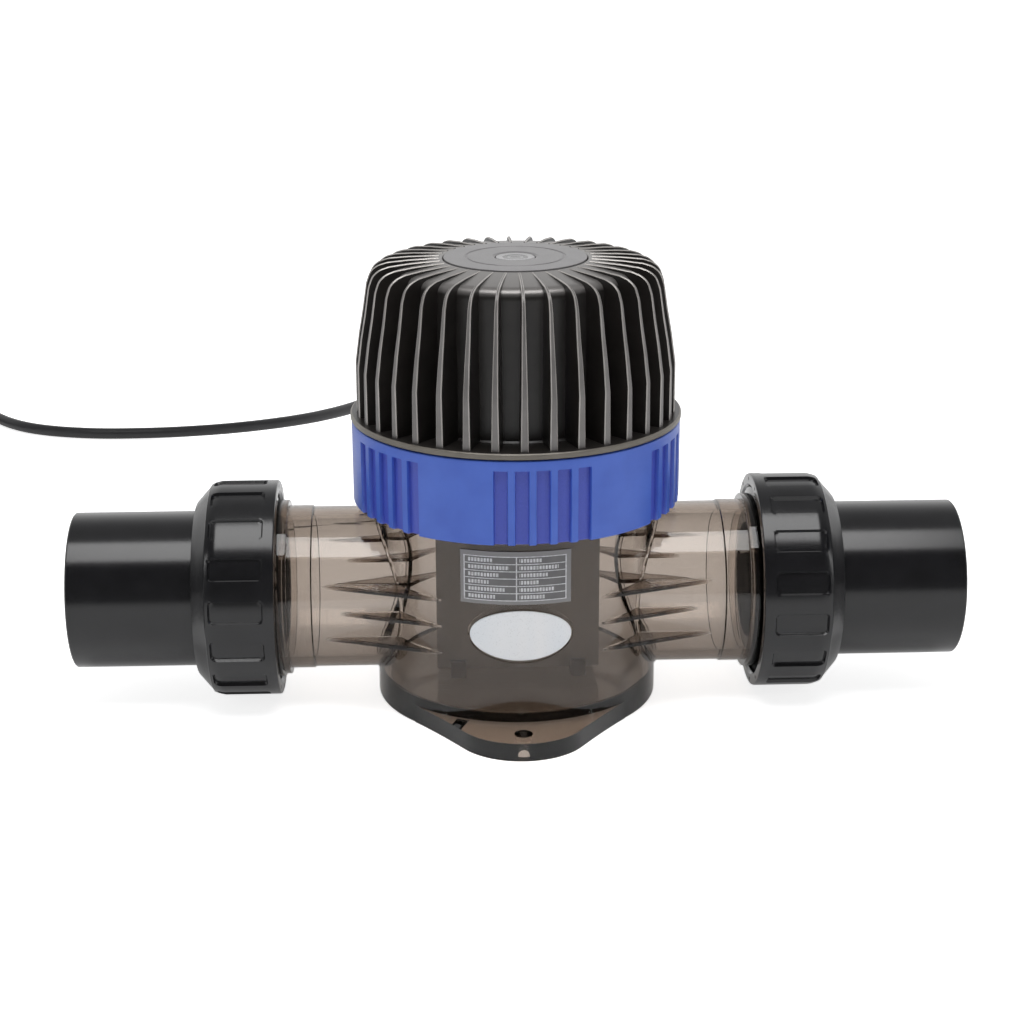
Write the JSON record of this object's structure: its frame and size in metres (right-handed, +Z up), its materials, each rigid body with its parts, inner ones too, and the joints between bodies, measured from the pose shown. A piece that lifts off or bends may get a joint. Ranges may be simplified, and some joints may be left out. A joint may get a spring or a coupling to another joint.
{
  "type": "salt water chlorinator cell",
  "caption": "In-line electrolytic water treatment cell: smoke-clear tee housing on a bolted foot, finned head with lock ring, threaded pipe unions and a cable.",
  "frame": {"origin": "centre of the foot's underside, under the middle of the housing", "axes": "+X along the pipes towards the right-hand union, +Y away from the labelled front, +Z up along the head"},
  "size_m": [0.5842, 0.5569, 0.1802],
  "materials": {
    "smoke_housing": "smoke-tinted clear plastic, polished",
    "union_black": "glossy black pipe plastic",
    "head_black": "die-cast, satin black paint with fine speckle",
    "disc_black": "satin black, turned rings",
    "ring_blue": "satin royal blue plastic",
    "carrier_black": "satin moulded plastic",
    "seal_rubber": "soft black rubber",
    "plate_titanium": "coated titanium, dull grey",
    "screw_steel": "bright stainless",
    "brass_plain": "plain turned brass",
    "board_green": "green solder mask",
    "component_dark": "dark moulded component",
    "copper_wire": "enamelled copper winding",
    "washer_white": "pale low-friction plastic",
    "label_print": "printed film, white lines on grey",
    "oval_silver": "blank silver film",
    "lens_clear": "clear acrylic",
    "cable_sheath": "satin black cable sheath",
    "gland_black": "satin black nylon",
    "tie_strap": "black woven hook-and-loop strap"
  },
  "bodies": {
    "base": {"housing": "smoke_housing", "oval_badge": "oval_silver", "rating_label": "label_print", "union_seal_left": "seal_rubber", "union_seal_right": "seal_rubber", "cable": "cable_sheath", "cable_coil": "cable_sheath", "coil_tie": "tie_strap", "cable_tail": "cable_sheath", "connector_body": "gland_black", "connector_nut": "gland_black"},
    "head": {"heat_sink_cap": "head_black", "top_disc": "disc_black", "status_lens": "lens_clear", "light_pipe": "lens_clear", "electrode_carrier": "carrier_black", "carrier_seal": "seal_rubber", "carrier_screw_1": "screw_steel", "carrier_screw_2": "screw_steel", "carrier_screw_3": "screw_steel", "carrier_screw_4": "screw_steel", "electrode_plate_1": "plate_titanium", "electrode_plate_2": "plate_titanium", "electrode_plate_3": "plate_titanium", "electrode_plate_4": "plate_titanium", "electrode_plate_5": "plate_titanium", "electrode_plate_6": "plate_titanium", "electrode_plate_7": "plate_titanium", "lower_comb_left": "carrier_black", "upper_comb_left": "carrier_black", "terminal_rod_left": "plate_titanium", "terminal_washer_left": "seal_rubber", "terminal_nut_left": "brass_plain", "lower_comb_right": "carrier_black", "upper_comb_right": "carrier_black", "terminal_rod_right": "plate_titanium", "terminal_washer_right": "seal_rubber", "terminal_nut_right": "brass_plain", "water_sensor": "component_dark", "sensor_nut": "brass_plain", "controller_board": "board_green", "board_standoff_1": "brass_plain", "board_standoff_2": "brass_plain", "board_standoff_3": "brass_plain", "board_standoff_4": "brass_plain", "capacitor_left": "component_dark", "capacitor_right": "component_dark", "choke": "copper_wire", "power_transistor": "component_dark", "thermal_pad": "washer_white", "terminal_block": "board_green", "cable_gland": "gland_black", "gland_nut": "gland_black", "strain_relief": "cable_sheath"},
    "lock_ring": {"lock_ring": "ring_blue", "slip_washer": "washer_white"},
    "tail_right": {"tailpiece_right": "union_black"},
    "nut_right": {"union_nut_right": "union_black"},
    "tail_left": {"tailpiece_left": "union_black"},
    "nut_left": {"union_nut_left": "union_black"}
  },
  "joints": [
    {"name": "head_lift", "type": "slide", "parent": "base", "child": "head", "axis": [0, 0, 1], "range_m": [0, 0.11]},
    {"name": "lock_ring_turn", "type": "hinge", "parent": "head", "child": "lock_ring", "pos_m": [0, 0, 0.1], "axis": [0, 0, 1], "range_deg": [0, 540]},
    {"name": "tail_right_slide", "type": "slide", "parent": "base", "child": "tail_right", "axis": [1, 0, 0], "range_m": [0, 0.012]},
    {"name": "nut_right_turn", "type": "hinge", "parent": "tail_right", "child": "nut_right", "pos_m": [0.11, 0, 0.0444], "axis": [1, 0, 0], "range_deg": [0, 720]},
    {"name": "tail_left_slide", "type": "slide", "parent": "base", "child": "tail_left", "axis": [-1, 0, 0], "range_m": [0, 0.012]},
    {"name": "nut_left_turn", "type": "hinge", "parent": "tail_left", "child": "nut_left", "pos_m": [-0.11, 0, 0.0444], "axis": [-1, 0, 0], "range_deg": [0, 720]}
  ],
  "couplings": [
    {"joint": "tail_right_slide", "follows": "nut_right_turn", "m_per_rad": 0.0009549},
    {"joint": "tail_left_slide", "follows": "nut_left_turn", "m_per_rad": 0.0009549}
  ]
}
